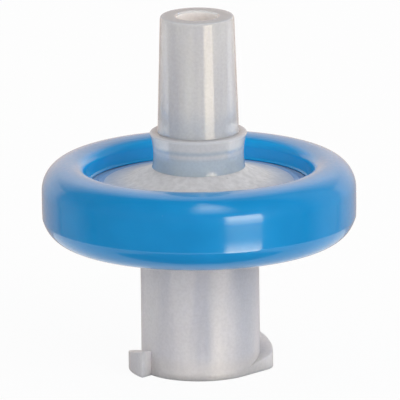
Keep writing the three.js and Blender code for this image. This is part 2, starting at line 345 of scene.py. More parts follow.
class RibbedTree(TurnedTree):
    """A turned housing with ribs round its axis."""

    INPUTS = {**TurnedTree.INPUTS, "Rib": "Object", "Rib count": "Int", "Face finish": "Material",
              "Face inner": "Float", "Face outer": "Float", "Face low": "Float", "Face high": "Float"}

    def shape(self) -> Socket:
        """Turn the outline, then add the ribs."""
        return self.joined(super().shape(), "Rib")

    def joined(self, body: Socket, label: str) -> Socket:
        """Add copies of one solid to the body.

        Args:
            body: Output that carries the body.
            label: Input that holds the solid, whose count has the same name and "count".

        Returns:
            The output that carries the joined body.
        """
        one = self.bench.out("GeometryNodeObjectInfo", {"Object": self.given[label]}, "Geometry")
        union = self.bench.add("GeometryNodeMeshBoolean", operation="UNION", solver="MANIFOLD")
        for part in (body, self.spread(one, self.given[f"{label} count"])):
            self.tree.links.new(part, union.inputs["Mesh 2"])
        return union.outputs["Mesh"]

    def spread(self, solid: Socket, count: Socket) -> Socket:
        """Repeat a solid round the axis.

        Args:
            solid: The first of them, in place.
            count: How many there are.

        Returns:
            The output that carries all of them.
        """
        out = self.bench.out
        points = out("GeometryNodeMeshLine", {"Count": count, "Offset": (0.0, 0.0, 0.0)})
        step = self.bench.math("DIVIDE", TURN, count)
        angle = self.bench.math("MULTIPLY", out("GeometryNodeInputIndex"), step)
        turned = out("ShaderNodeCombineXYZ", {"Z": angle})
        wires = {"Points": points, "Instance": solid, "Rotation": turned}
        return out("GeometryNodeRealizeInstances", {0: out("GeometryNodeInstanceOnPoints", wires)})

    def dressed(self, painted: Socket) -> Socket:
        """Give the textured face of the plate its own material, by radius and height.

        Args:
            painted: Output that carries the solid in its main material.

        Returns:
            The output that carries it in both.
        """
        out, given = self.bench.out, self.given
        away, height = self.bench.polar(out("GeometryNodeInputPosition"))
        inside = None
        for value, limit, side in (
                (away, given["Face inner"], "GREATER_THAN"), (away, given["Face outer"], "LESS_THAN"),
                (height, given["Face low"], "GREATER_THAN"), (height, given["Face high"], "LESS_THAN")):
            test = out("FunctionNodeCompare", {0: value, 1: limit}, operation=side)
            inside = test if inside is None else out(
                "FunctionNodeBooleanMath", {0: inside, 1: test}, operation="AND")
        wires = {0: painted, "Selection": inside, "Material": given["Face finish"]}
        return out("GeometryNodeSetMaterial", wires)


class LuggedTree(RibbedTree):
    """A ribbed housing with lugs round its barrel."""

    INPUTS = {**RibbedTree.INPUTS, "Lug": "Object", "Lug count": "Int"}

    def shape(self) -> Socket:
        """Add the lugs to the ribbed housing."""
        return self.joined(super().shape(), "Lug")


def linked(name: str, data: bpy.types.ID) -> Object:
    """Make an object of a mesh, lamp or camera, and link it into the scene.

    Args:
        name: Name of the object.
        data: What it shows.

    Returns:
        The object.
    """
    made = bpy.data.objects.new(name, data)
    bpy.context.scene.collection.objects.link(made)
    return made


def outline_object(name: str, points: Sequence[Point]) -> Object:
    """Make the outline that a tree turns. It closes on itself, unless both ends are on the axis.

    Args:
        name: Name of the helper object.
        points: Radius and height of each point, outwards over the top and back in.

    Returns:
        An object with edges only, drawn as the tree expects it.
    """
    count = len(points)
    on_axis = points[0][0] == points[-1][0] == 0.0
    drawn = [(radius - MM, -height, 0.0) for radius, height in reversed(points)]
    edges = [(index, (index + 1) % count) for index in range(count - on_axis)]
    mesh = bpy.data.meshes.new(name)
    mesh.from_pydata(drawn, edges, [])
    return linked(name, mesh)


def prism(name: str, outline: Sequence[Point], bottom: float, top: float) -> Object:
    """Raise a plan outline to a closed solid.

    Args:
        name: Name of the helper object.
        outline: Plan points, anticlockwise from above.
        bottom: Height of the lower face.
        top: Height of the upper face.

    Returns:
        The solid.
    """
    made = bmesh.new()
    rings = [[made.verts.new((x, y, z)) for x, y in outline] for z in (bottom, top)]
    made.faces.new(list(reversed(rings[0])))
    made.faces.new(rings[1])
    for index in range(len(outline)):
        following = (index + 1) % len(outline)
        made.faces.new((rings[0][index], rings[0][following], rings[1][following], rings[1][index]))
    mesh = bpy.data.meshes.new(name)
    made.to_mesh(mesh)
    made.free()
    return linked(name, mesh)


def discard(*helpers: Object) -> None:
    """Remove helper objects that only fed a tree."""
    for helper in helpers:
        mesh = helper.data
        bpy.data.objects.remove(helper)
        bpy.data.meshes.remove(mesh)


# ---- finishes -------------------------------------------------------------------------------


class Slot(Enum):
    """Material slots of the record."""

    NATURAL = "natural_polypropylene"
    BLUE = "blue_polypropylene"
    MEMBRANE = "membrane_white"


def cleared(owner: bpy.types.Material | bpy.types.World) -> NodeBench:
    """Clear the nodes of a material or the world.

    Args:
        owner: The material or the world.

    Returns:
        A bench on its tree.
    """
    owner.use_nodes = True
    owner.node_tree.nodes.clear()
    return NodeBench(owner.node_tree)


@dataclass(frozen=True)
class Zone:
    """Ring-shaped region, in metres from the axis and above the ground, where a tone is painted on:
    painted light, painted shade or colour seen through the plastic.
    """

    colour: Colour
    radii: Point = (0.0, 1.0)
    heights: Point = (0.0, 1.0)
    soft: float = 0.04 * MM
    strength: float = 1.0
    polish: float = 1.0

    def share(self, bench: NodeBench, away: Socket, height: Socket) -> Socket:
        """Measure how much of the tone a point takes.

        Args:
            bench: Bench of the material's tree.
            away: Distance from the axis.
            height: Height above the ground.

        Returns:
            The share, from nought to the zone's strength.
        """
        within = []
        for value, (low, high) in ((away, self.radii), (height, self.heights)):
            half = (high - low) / 2
            offset = bench.math("ABSOLUTE", bench.math("SUBTRACT", value, low + half))
            within.append(bench.spanned(offset, (half, half + self.soft), (1.0, 0.0)))
        return bench.math("MULTIPLY", bench.math("MULTIPLY", *within), self.strength)


@dataclass(frozen=True)
class Finish:
    """A procedural material: patterns in object space that feed one shader."""

    slot: Slot
    base: Colour
    roughness: float
    title: str = ""
    zones: tuple[Zone, ...] = ()

    def material(self) -> bpy.types.Material:
        """Build the material.

        Returns:
            A node material with this finish.
        """
        material = bpy.data.materials.new(self.title or self.slot.value)
        bench = cleared(material)
        shader = bench.out("ShaderNodeBsdfPrincipled", self.inputs(bench))
        bench.add("ShaderNodeOutputMaterial", {"Surface": shader})
        return material

    def inputs(self, bench: NodeBench) -> dict[str, object]:
        """Wire the patterns, and return a value or an output for each of the shader's inputs."""
        raise NotImplementedError

    def darker(self, share: float) -> Colour:
        """Take a share of the base colour."""
        return tuple(part * share for part in self.base)

    def toned(self, bench: NodeBench, colour: Socket) -> tuple[Socket, Socket]:
        """Lay the zones of painted light, painted shade and painted see-through colour over a colour.

        Args:
            bench: Bench of the material's tree.
            colour: Colour outside the zones.

        Returns:
            The colour with the zones in it, and how polished the plastic is.
        """
        away, height = bench.polar(bench.place)
        polish = bench.out("ShaderNodeValue")
        polish.default_value = 1.0
        for zone in self.zones:
            share = zone.share(bench, away, height)
            colour = bench.blended(share, colour, zone.colour)
            polish = bench.out("ShaderNodeMix", {"Factor": share, 2: polish, 3: zone.polish})
        return colour, polish


@dataclass(frozen=True)
class NaturalPolypropylene(Finish):
    """Milky, translucent natural polypropylene with flow marks and zones of painted light, shade and
    colour seen through.
    """

    slot: Slot = Slot.NATURAL
    base: Colour = (1.0, 0.98, 0.96)
    roughness: float = 0.16
    streak: Colour = (0.8, 0.795, 0.83)
    flow: float = 0.9
    grain: float = 0.1
    gloss: float = 0.1
    skin: float = 0.55
    transmission: float = 0.52
    scatter: Colour = (0.8, 0.8, 0.85)

    def inputs(self, bench: NodeBench) -> dict[str, object]:
        """Wire the flow marks along the draw, the clouds, the zones of painted light and shade, and the
        grain.

        Args:
            bench: Bench of the material's tree.

        Returns:
            A value or an output for each of the shader's inputs.
        """
        flow = bench.noise(self.flow, self.flow, 0.07, detail=3.0)
        cloud = bench.noise(0.6, 0.6, 0.6, detail=3.0)
        colour = bench.patched(flow, (0.38, 0.66), 1.0, self.base, self.streak)
        colour = bench.patched(cloud, WIDE, 0.2, colour, self.darker(0.8))
        colour, polish = self.toned(bench, colour)
        grain = bench.noise(7.0, 7.0, 7.0, detail=3.0)
        rough = bench.spanned(cloud, WIDE, (self.roughness - 0.03, self.roughness + 0.05))
        given = {**self.milky(), "Roughness": rough,
                 "Base Color": bench.patched(grain, NARROW, self.grain, colour, self.darker(0.3)),
                 "Normal": bench.bump(bench.noise(9.0, 9.0, 2.5), strength=0.07, depth=0.012 * MM)}
        if any(zone.polish != 1.0 for zone in self.zones):
            for name in ("Coat Weight", "Transmission Weight"):
                given[name] = bench.math("MULTIPLY", polish, given[name])
        return given

    def milky(self) -> dict[str, object]:
        """Say how the plastic lets light through and scatters it, as inputs of the shader."""
        return {"IOR": PLASTIC_IOR, "Specular IOR Level": self.gloss, "Coat Weight": self.skin,
                "Coat Roughness": 0.06, "Coat IOR": PLASTIC_IOR, "Transmission Weight": self.transmission,
                "Subsurface Weight": 1.0, "Subsurface Radius": self.scatter, "Subsurface Scale": MM}


@dataclass(frozen=True)
class SatinPolypropylene(NaturalPolypropylene):
    """The same plastic off a blasted mould face: satin, with broad flow marks and a fine grain."""

    title: str = "satin_polypropylene"
    base: Colour = (0.97, 0.94, 0.95)
    roughness: float = 0.32
    streak: Colour = (0.72, 0.73, 0.79)
    flow: float = 0.55
    grain: float = 0.12
    gloss: float = 0.02
    skin: float = 0.0
    transmission: float = 0.48


@dataclass(frozen=True)
class ErodedPolypropylene(NaturalPolypropylene):
    """The same plastic off a spark-eroded mould face: matt, mottled and a little uneven."""

    title: str = "eroded_polypropylene"
    base: Colour = (0.64, 0.63, 0.64)
    roughness: float = 0.7
    gloss: float = 0.05
    skin: float = 0.0
    transmission: float = 0.0
    fleck: Colour = (0.16, 0.17, 0.2)

    def inputs(self, bench: NodeBench) -> dict[str, object]:
        """Wire the mottle, a few dark flecks, the zones of painted light, shade and colour seen through,
        and the pitted face.

        Args:
            bench: Bench of the material's tree.

        Returns:
            A value or an output for each of the shader's inputs.
        """
        mottle = bench.noise(3.2, 3.2, 3.2, detail=3.0)
        cloud = bench.noise(0.7, 0.7, 0.7)
        colour = bench.patched(mottle, (0.3, 0.68), 0.5, self.base, self.darker(0.6))
        colour = bench.patched(cloud, NARROW, 0.25, colour, self.darker(0.75))
        flecks = bench.specks(0.9, reach=(0.05, 0.1), kept=(0.6, 0.62), strength=0.6)
        colour, _ = self.toned(bench, bench.blended(flecks, colour, self.fleck))
        rough = bench.spanned(mottle, WIDE, (self.roughness - 0.06, self.roughness + 0.06))
        return {**self.milky(), "Base Color": colour, "Roughness": rough,
                "Normal": bench.bump(mottle, strength=0.5, depth=0.04 * MM)}


@dataclass(frozen=True)
class BluePolypropylene(Finish):
    """Blue polypropylene with a satin to glossy skin and a few specks."""

    slot: Slot = Slot.BLUE
    base: Colour = (0.003, 0.24, 0.55)
    roughness: float = 0.3
    deep: Colour = (0.002, 0.22, 0.51)
    speck: Colour = (0.25, 0.45, 0.7)

    def inputs(self, bench: NodeBench) -> dict[str, object]:
        """Wire a faint mottle, a few pale specks, the zones of painted light and the moulded skin.

        Args:
            bench: Bench of the material's tree.

        Returns:
            A value or an output for each of the shader's inputs.
        """
        grain = bench.noise(4.0, 4.0, 4.0, detail=4.0)
        mottle = bench.noise(0.35, 0.35, 0.5)
        colour = bench.patched(mottle, NARROW, 1.0, self.base, self.deep)
        specks = bench.specks(1.6, reach=(0.05, 0.07), kept=(0.80, 0.81), strength=0.55)
        colour, _ = self.toned(bench, bench.blended(specks, colour, self.speck))
        rough = bench.spanned(grain, NARROW, (self.roughness - 0.02, self.roughness + 0.04))
        return {"Base Color": colour, "Roughness": rough,
                "Normal": bench.bump(grain, strength=0.2, depth=0.012 * MM),
                "IOR": PLASTIC_IOR, "Specular IOR Level": 0.2, "Coat Weight": 0.85,
                "Coat Roughness": 0.08, "Coat IOR": PLASTIC_IOR, "Subsurface Weight": 0.12,
                "Subsurface Radius": (0.2, 0.5, 1.0), "Subsurface Scale": MM}


@dataclass(frozen=True)
class PorousMembrane(Finish):
    """Matt white membrane with a fine pore structure."""

    slot: Slot = Slot.MEMBRANE
    base: Colour = (0.86, 0.86, 0.85)
    roughness: float = 0.9

    def inputs(self, bench: NodeBench) -> dict[str, object]:
        """Wire the pores.

        Args:
            bench: Bench of the material's tree.

        Returns:
            A value or an output for each of the shader's inputs.
        """
        pores = bench.noise(14.0, 14.0, 14.0, detail=3.0)
        cloud = bench.noise(0.8, 0.8, 0.8, detail=3.0)
        return {"Base Color": bench.patched(cloud, NARROW, 0.35, self.base, self.darker(0.8)),
                "Roughness": self.roughness, "Normal": bench.bump(pores, strength=0.4, depth=0.02 * MM)}


# ---- pieces ---------------------------------------------------------------------------------


@dataclass(frozen=True)
class Stack:
    """Heights and radii that the pieces share, read from the frame."""

    parting: float
    outlet_bottom: float
    outlet_top: float
    rim: float
    membrane_bottom: float
    membrane_top: float
    membrane_radius: float
    ring_bottom: float
    ring_top: float
    ring_radius: float

    @classmethod
    def from_frame(cls) -> "Stack":
        """Read the boxes of the four nodes.

        Returns:
            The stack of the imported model.
        """
        inlet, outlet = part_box("inlet_housing"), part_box("outlet_housing")
        disc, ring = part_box("membrane"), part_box("overmould_ring")
        return cls(
            parting=inlet[1].z,
            outlet_bottom=outlet[0].z,
            outlet_top=outlet[1].z,
            rim=outlet[1].x,
            membrane_bottom=disc[0].z,
            membrane_top=disc[1].z,
            membrane_radius=disc[1].x,
            ring_bottom=ring[0].z,
            ring_top=ring[1].z,
            ring_radius=ring[1].x,
        )


@dataclass
class Piece:
    """One moulded piece: it builds its mesh, dresses it and takes its place in the frame."""

    stack: Stack
    finish: Finish
    name: str = ""
    node: str = ""
    facets: int = 256
    crease: float = 32.0

    def section(self) -> list[Point]:
        """Draw the piece's half-section."""
        raise NotImplementedError

    def zones(self) -> tuple[Zone, ...]:
        """Name the zones where light, shade or colour seen through is painted on the piece."""
        return ()

    def solid(self) -> Object:
        """Turn the section."""
        return self.made(TurnedTree)

    def made(self, tree: type[TurnedTree], **values: object) -> Object:
        """Make the piece from its section with a tree, in its finish with the zones.

        Args:
            tree: Kind of the tree.
            values: The tree's further inputs. Helper objects among them are removed afterwards.

        Returns:
            The piece.
        """
        outline = outline_object(f"{self.node}_outline", self.section())
        finish = replace(self.finish, zones=self.zones()).material()
        piece = tree(f"{self.node}_tree").make(
            self.name, Outline=outline, Facets=self.facets, Crease=math.radians(self.crease),
            Finish=finish, **values)
        discard(outline, *(value for value in values.values() if isinstance(value, Object)))
        return piece

    def place(self) -> None:
        """Build the piece and let it stand for its node."""
        piece = self.solid()
        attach(piece, "root")
        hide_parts(self.node)
        LOG.info("%s: %d faces", piece.name, len(piece.data.polygons))


@dataclass
class Ribs:
    """Radial ribs inside the chamber, which hold the membrane off a housing."""

    count: int = 8
    width: float = 0.3 * MM
    inner: float = 1.1 * MM
    outer: float = 5.4 * MM

    def one(self, name: str, bottom: float, top: float) -> Object:
        """Make the rib along +X.

        Args:
            name: Name of the helper object.
            bottom: Height of its lower face.
            top: Height of its upper face.

        Returns:
            The rib.
        """
        half = self.width / 2
        plan = [(self.inner, -half), (self.outer, -half), (self.outer, half), (self.inner, half)]
        return prism(name, plan, bottom, top)


@dataclass
class Lug:
    """A part-thread lug of the luer lock: a ramp, a stretch at full span and a blunt end."""

    span: float = 7.83 * MM
    barrel: float = 3.21 * MM
    depth: float = 0.5 * MM
    height: float = 0.95 * MM
    lead: float = 5.0 * MM
    tip: float = -43.0
    full: float = -8.0
    corner: float = 6.0
    end: float = 36.0
    skew: float = 13.0
    corner_steps: int = 8
    crest_steps: int = 24
    foot_steps: int = 16
    edge: float = 0.07 * MM
    edge_turn: float = 30.0
    edge_margin: float = 0.05 * MM
    edge_steps: int = 3

    def outline(self) -> list[Point]:
        """Draw the lug from above.

        Returns:
            Its plan, anticlockwise.
        """
        crest = self.span / 2
        foot = self.barrel - self.depth
        rounded = self.full + self.corner
        ramp = around(self.barrel, self.tip)
        corner = around(crest, self.full)
        start = ramp.lerp(corner, 1 - self.corner / (self.full - self.tip))
        end = around(crest, rounded)
        plan = [around(foot, self.tip), ramp]
        plan += [bend(start, corner, end, step / self.corner_steps)
                 for step in range(self.corner_steps + 1)]
        plan += [around(crest, rounded + (self.end - rounded) * step / self.crest_steps)
                 for step in range(1, self.crest_steps + 1)]
        back = self.end - math.degrees((crest - foot) * math.tan(math.radians(self.skew)) / foot)
        plan += [around(foot, back + (self.tip - back) * step / self.foot_steps)
                 for step in range(self.foot_steps)]
        return [tuple(point) for point in plan]

    def solid(self, name: str) -> Object:
        """Raise the outline to the thread's flank and round its edges.

        Args:
            name: Name of the helper object.

        Returns:
            The lug on the +X side.
        """
        lug = prism(name, self.outline(), 0.0, self.height)
        made = bmesh.new()
        made.from_mesh(lug.data)
        for vert in made.verts:
            turns = math.atan2(vert.co.y, vert.co.x) / TURN
            vert.co.z *= (self.height + self.lead * turns) / self.height
        made.normal_update()
        turn, keep = math.radians(self.edge_turn), self.barrel + self.edge_margin
        outer = [edge for edge in made.edges
                 if edge.calc_face_angle(0.0) > turn
                 and max(vert.co.xy.length for vert in edge.verts) > keep]
        bmesh.ops.bevel(made, geom=outer, offset=self.edge, offset_type="OFFSET",
                        segments=self.edge_steps, profile=0.5, affect="EDGES", clamp_overlap=True)
        bmesh.ops.triangulate(made, faces=made.faces[:])
        made.to_mesh(lug.data)
        made.free()
        return lug


@dataclass
class Housing(Piece):
    """What both housings share: a plate with a chamber, ribs in it and a textured face."""

    face: Finish = field(default_factory=ErodedPolypropylene)
    chamber: float = 5.1 * MM
    chamber_depth: float = 0.35 * MM
    rim_chamfer: float = 0.08 * MM
    floor_fillet: float = 0.25 * MM
    rib_relief: float = 0.05 * MM
    ribs: Ribs = field(default_factory=Ribs)


@dataclass
class InletHousing(Housing):
    """Lower housing: the plate under the membrane and the female luer lock inlet."""

    name: str = "inlet_housing_moulding"
    node: str = "inlet_housing"
    face_radius: float = 5.45 * MM
    barrel: float = 3.21 * MM
    barrel_edge: float = 0.08 * MM
    root_fillet: float = 0.3 * MM
    plate: float = 0.98 * MM
    clearance: float = 0.02 * MM
    socket_mouth: float = 2.15 * MM
    socket_taper: float = 0.03
    socket_chamfer: float = 0.15 * MM
    floor_wall: float = 1.25 * MM
    passage: float = 0.6 * MM
    lug: Lug = field(default_factory=Lug)
    lug_count: int = 2

    @property
    def pocket(self) -> float:
        """Height of the pocket that the membrane's rim lies in."""
        return self.stack.membrane_bottom - self.clearance

    @property
    def floor(self) -> float:
        """Height of the chamber's floor."""
        return self.pocket - self.chamber_depth

    @property
    def under(self) -> float:
        """Height of the plate's underside."""
        return self.stack.parting - self.plate

    def section(self) -> list[Point]:
        """Draw the pocket, the plate, the barrel and its socket.

        Returns:
            The closed half-section.
        """
        stack, under, pocket = self.stack, self.under, self.pocket
        fillet, root, edge = self.floor_fillet, self.root_fillet, self.barrel_edge
        mouth, taper, chamfer = self.socket_mouth, self.socket_taper, self.socket_chamfer
        side = stack.membrane_radius + self.clearance
        top = self.floor - self.floor_wall
        end = mouth - taper * top
        section = Section().to(self.passage, self.floor).to(self.chamber, self.floor)
        section.to(self.chamber, pocket).to(side, pocket).to(side, stack.parting)
        section.to(stack.rim, stack.parting).to(stack.rim, under + self.rim_chamfer)
        section.to(stack.rim - self.rim_chamfer, under).to(self.face_radius, under)
        section.arc((self.barrel + root, under - root), (root, root), (90, 180), steps=8)
        section.arc((self.barrel - edge, edge), (edge, edge), (0, -90), steps=5)
        section.to(mouth + chamfer, 0.0).to(mouth - taper * chamfer, chamfer)
        section.arc((end - fillet, top - fillet), (fillet, fillet), (0, 90), steps=6)
        return section.to(self.passage, top).softened()

    def zones(self) -> tuple[Zone, ...]:
        """Name the pale zone of painted light round the mouth and the darker edge of painted contact
        shade that it stands on.

        Returns:
            The zones.
        """
        # Painted light: the bright inside of the socket, as if seen through the barrel's wall near the
        # mouth.
        mouth = Zone((0.8, 0.76, 0.74), (0.0, self.barrel), (0.2 * MM, 0.7 * MM), soft=0.6 * MM,
                     strength=0.6)
        # Painted shade: a contact shadow along the edge where the barrel stands on the floor.
        stand = Zone((0.55, 0.54, 0.57), (self.socket_mouth, 1.25 * self.barrel), (0.0, 0.04 * MM),
                     soft=0.12 * MM, strength=0.7)
        return mouth, stand

    def solid(self) -> Object:
        """Turn the section and add the ribs and both lugs.

        Returns:
            The housing.
        """
        rib = self.ribs.one("inlet_rib", self.floor - self.ribs.width, self.pocket - self.rib_relief)
        return self.made(
            LuggedTree, Rib=rib, Rib_count=self.ribs.count, Lug=self.lug.solid("inlet_lug"),
            Lug_count=self.lug_count, Face_finish=self.face.material(),
            Face_inner=self.barrel + self.root_fillet, Face_outer=self.face_radius,
            Face_low=self.under - self.rim_chamfer, Face_high=self.under + self.rim_chamfer)


@dataclass
class OutletHousing(Housing):
    """Upper housing: the dished plate over the membrane, the collar and the male luer cone."""

    name: str = "outlet_housing_moulding"
    node: str = "outlet_housing"
    plate: float = 0.87 * MM
    bore: float = 1.125 * MM
    bore_chamfer: float = 0.05 * MM
    bore_draft: float = 0.01
    floor_wall: float = 0.85 * MM
    passage: float = 0.45 * MM
    tip: float = 2.01 * MM
    tip_round: Point = (0.11 * MM, 0.17 * MM)
    cone_taper: float = 0.03
    cone_length: float = 6.4 * MM
    collar_height: float = 1.95 * MM
    collar_top: float = 2.625 * MM
    collar_waist: float = 2.45 * MM
    collar_base: float = 2.515 * MM
    waist_height: float = 0.72 * MM
    collar_edge: float = 0.1 * MM
    dish_margin: float = 0.35 * MM
    dish_rise: float = 0.87 * MM
    step: float = 0.16 * MM
    step_width: float = 0.1 * MM
    ribs: Ribs = field(default_factory=lambda: Ribs(count=12, inner=0.95 * MM))

    @property
    def roof(self) -> float:
        """Height of the chamber's roof."""
        return self.stack.outlet_bottom + self.chamber_depth

    @property
    def shoulder(self) -> float:
        """Height of the collar's shoulder, where the cone starts."""
        return self.stack.outlet_top - self.cone_length

    @property
    def base(self) -> float:
        """Height of the collar's base."""
        return self.shoulder - self.collar_height

    def section(self) -> list[Point]:
        """Draw the cone, the collar, the dished plate and the bore.

        Returns:
            The closed half-section.
        """
        stack, top, roof, base = self.stack, self.stack.outlet_top, self.roof, self.base
        waist = base + self.waist_height
        plate_top = stack.outlet_bottom + self.plate
        dish_edge = self.chamber + self.dish_margin
        edge, fillet = self.collar_edge, self.floor_fillet
        width, height = self.tip_round
        bore_end = roof + self.floor_wall
        bore_foot = self.bore - self.bore_draft * (top - bore_end)
        section = Section().to(self.passage, bore_end)
        section.arc((bore_foot - fillet, bore_end + fillet), (fillet, fillet), (-90, 0), steps=6)
        section.to(self.bore, top - self.bore_chamfer).to(self.bore + self.bore_chamfer, top)
        section.arc((self.tip - width, top - height), (width, height), (90, 0), steps=6)
        section.to(self.tip + self.cone_taper * self.cone_length, self.shoulder)
        section.arc((self.collar_top - edge, self.shoulder - edge), (edge, edge), (90, 0), steps=6)
        section.along(lambda share: (
            self.collar_waist + (self.collar_top - self.collar_waist) * (1 - share) ** 2,
            self.shoulder - edge + (waist - self.shoulder + edge) * share), steps=14)
        section.along(lambda share: (
            self.collar_waist + (self.collar_base - self.collar_waist) * share ** 2,
            waist + (base - waist) * share), steps=8)
        section.along(lambda share: (
            self.collar_base + (dish_edge - self.collar_base) * share,
            plate_top + self.step + self.dish_rise * (1 - share) ** 2), steps=28)
        section.to(dish_edge + self.step_width, plate_top).to(stack.rim - self.rim_chamfer, plate_top)
        section.to(stack.rim, plate_top - self.rim_chamfer).to(stack.rim, stack.outlet_bottom)
        section.to(self.chamber, stack.outlet_bottom).to(self.chamber, roof)
        return section.to(self.passage, roof).softened()

    def zones(self) -> tuple[Zone, ...]:
        """Name the painted light, shade and blue seen through at the rim, the cone's foot, the collar,
        the tip and the bore.

        Returns:
            The zones.
        """
        top, shoulder, base = self.stack.outlet_top, self.shoulder, self.base
        outside = self.collar_top + 0.1 * MM
        collar = (self.tip + 0.3 * MM, outside)
        face = (self.bore + 2 * self.bore_chamfer, self.tip - self.tip_round[0] + 0.05 * MM)
        return (
            # Painted colour seen through: the blue ring showing through the plate's translucent rim.
            Zone((0.3, 0.46, 0.76), (self.chamber + 0.03 * MM, self.stack.ring_radius), polish=0.3),
            # Painted light: bluish light from the blue ring, on the cone's foot.
            Zone((0.68, 0.74, 0.82), (self.bore, self.tip + 0.3 * MM), (shoulder, shoulder + 0.6 * MM),
                 soft=1.0 * MM, strength=0.5),
            # Painted light: the collar's upper part made paler, for light passing down through the cone.
            Zone((1.0, 0.96, 0.93), collar, (base + 0.9 * MM, shoulder - 0.06 * MM), strength=0.6,
                 polish=0.85),
            # Painted light: a thin bluish line where the bore's floor shows through the collar.
            Zone((0.55, 0.69, 0.82), collar, (base + 1.2 * MM, base + 1.25 * MM), soft=0.15 * MM,
                 strength=0.5),
            # Painted light: the ring's blue seen through and reflected in the collar's lower band.
            Zone((0.78, 0.87, 0.97), collar, (base + 0.05 * MM, base + 0.75 * MM), soft=0.3 * MM,
                 strength=0.9),
            # Painted shade: the collar's top ledge and its rounded edge darkened to grey.
            Zone((0.45, 0.45, 0.47), (self.tip + 0.1 * MM, outside),
                 (shoulder - self.collar_edge, shoulder + 0.02 * MM), polish=0.0),
            # Painted shade: the tip's top face darkened to grey.
            Zone((0.37, 0.385, 0.41), face, (top - 0.1 * MM, top), polish=0.0),
            # Painted light: a warm tone on the bore's inside, standing in for light through the walls.
            Zone((0.8, 0.76, 0.735), (0.0, self.bore + 0.01 * MM), (base, top - 0.1 * MM), polish=0.0),
        )

    def solid(self) -> Object:
        """Turn the section and add the ribs.

        Returns:
            The housing.
        """
        bottom = self.stack.outlet_bottom
        # Painted colour seen through: the blue ring showing through the plate's edge on the textured
        # face.
        edge = Zone((0.28, 0.37, 0.54), (self.chamber, self.stack.ring_radius), soft=1.4 * MM,
                    strength=0.8)
        rib = self.ribs.one("outlet_rib", bottom + self.rib_relief, self.roof + self.ribs.width)
        return self.made(
            RibbedTree, Rib=rib, Rib_count=self.ribs.count,
            Face_finish=replace(self.face, zones=(edge,)).material(), Face_inner=self.collar_waist,
            Face_outer=self.chamber + 0.02 * MM, Face_low=bottom + self.plate, Face_high=self.base)


@dataclass
class Membrane(Piece):
    """Membrane disc, with a slightly worn edge."""

    name: str = "membrane_disc"
    node: str = "membrane"
    facets: int = 128
    edge: float = 0.03 * MM

    def section(self) -> list[Point]:
        """Draw the disc.

        Returns:
            The half-section, open on the axis.
        """
        top, bottom, edge = self.stack.membrane_top, self.stack.membrane_bottom, self.edge
        side = self.stack.membrane_radius - edge
        section = Section().to(0.0, top)
        section.arc((side, top - edge), (edge, edge), (90, 0), steps=4)
        section.arc((side, bottom + edge), (edge, edge), (0, -90), steps=4)
        return section.to(0.0, bottom).points


@dataclass
class OvermouldRing(Piece):
    """Blue ring moulded over both plates' rims, with a crown above and a skirt below."""

    name: str = "overmould_ring_moulding"
    node: str = "overmould_ring"
    facets: int = 320
    clearance: float = 0.02 * MM
    wall_bow: float = 0.02 * MM
    bow_height: float = 0.8 * MM
    crown_height: float = 1.505 * MM
    skirt_height: float = 1.27 * MM
    skirt_angle: float = 22.0
    skirt_pull: float = 0.15 * MM
    skirt_fullness: float = 0.82
    lip: float = 5.98 * MM
    crest: float = 7.03 * MM
    crest_fall: float = 0.65 * MM
    wall_lean: float = 0.04 * MM
    skirt_low: float = 6.7 * MM
    skirt_round: float = 0.45 * MM
    lip_edge: float = 0.05 * MM
    foot_fillet: float = 0.12 * MM
    outlet_lip: float = 1.265 * MM
    inlet_lip: float = 1.13 * MM

    def section(self) -> list[Point]:
        """Draw the crown, the wall, the skirt and the groove for the rims.

        Returns:
            The closed half-section.
        """
        top, bottom, wall = self.stack.ring_top, self.stack.ring_bottom, self.stack.ring_radius
        upper, lower = top - self.outlet_lip, bottom + self.inlet_lip
        groove = self.stack.rim + self.clearance
        foot, low_round = self.foot_fillet, self.skirt_round
        wall_foot = bottom + self.skirt_height
        inner = self.crest - self.lip - foot - self.wall_lean
        section = Section().to(self.lip, upper)
        section.arc((self.lip, upper + self.lip_edge + foot), (foot, foot), (-90, -4), steps=5)
        section.arc((self.crest, top - self.crest_fall), (inner, self.crest_fall), (180, 93), steps=24)
        section.arc((self.crest, top - self.crown_height), (wall - self.crest, self.crown_height),
                    (90, 0), steps=40)
        section.along(lambda share: (
            wall - self.wall_bow * share ** 2, wall_foot + self.bow_height * (1 - share)), steps=8)
        corner = Vector((wall - self.wall_bow, wall_foot))
        lean = math.radians(self.skirt_angle)
        pull = corner - Vector((math.sin(lean), math.cos(lean))) * self.skirt_pull
        end = Vector((self.skirt_low, bottom))
        low = end + Vector(((wall - self.skirt_low) * self.skirt_fullness, 0.0))

        def sweep(share: float) -> Point:
            """Find the point a share of the way down the skirt."""
            rest = 1 - share
            return tuple(corner * rest ** 3 + pull * 3 * rest ** 2 * share
                         + low * 3 * rest * share ** 2 + end * share ** 3)

        section.along(sweep, steps=36)
        section.arc((self.skirt_low, bottom + low_round), (low_round, low_round), (-95, -160), steps=10)
        section.arc((self.lip, lower - self.lip_edge - foot), (foot, foot), (20, 90), steps=5)
        return section.to(self.lip, lower).to(groove, lower).to(groove, upper).softened()

    def zones(self) -> tuple[Zone, ...]:
        """Name the zone of painted light that brightens the shaded wall inside the crest."""
        foot = self.stack.ring_top - self.outlet_lip
        # Painted light: the inner wall's blue made brighter where it lies in shade.
        return (Zone((0.005, 0.37, 0.82), (self.lip, self.lip + 0.57 * MM), (foot, foot + MM),
                     soft=0.2 * MM),)


# ---- studio ---------------------------------------------------------------------------------


def toward(bearing: float, height: float) -> Vector:
    """Find the direction to a bearing, in degrees to the camera's right, and an elevation."""
    turn, lift = math.radians(bearing), math.radians(height)
    return Vector((math.sin(turn) * math.cos(lift), -math.cos(turn) * math.cos(lift), math.sin(lift)))


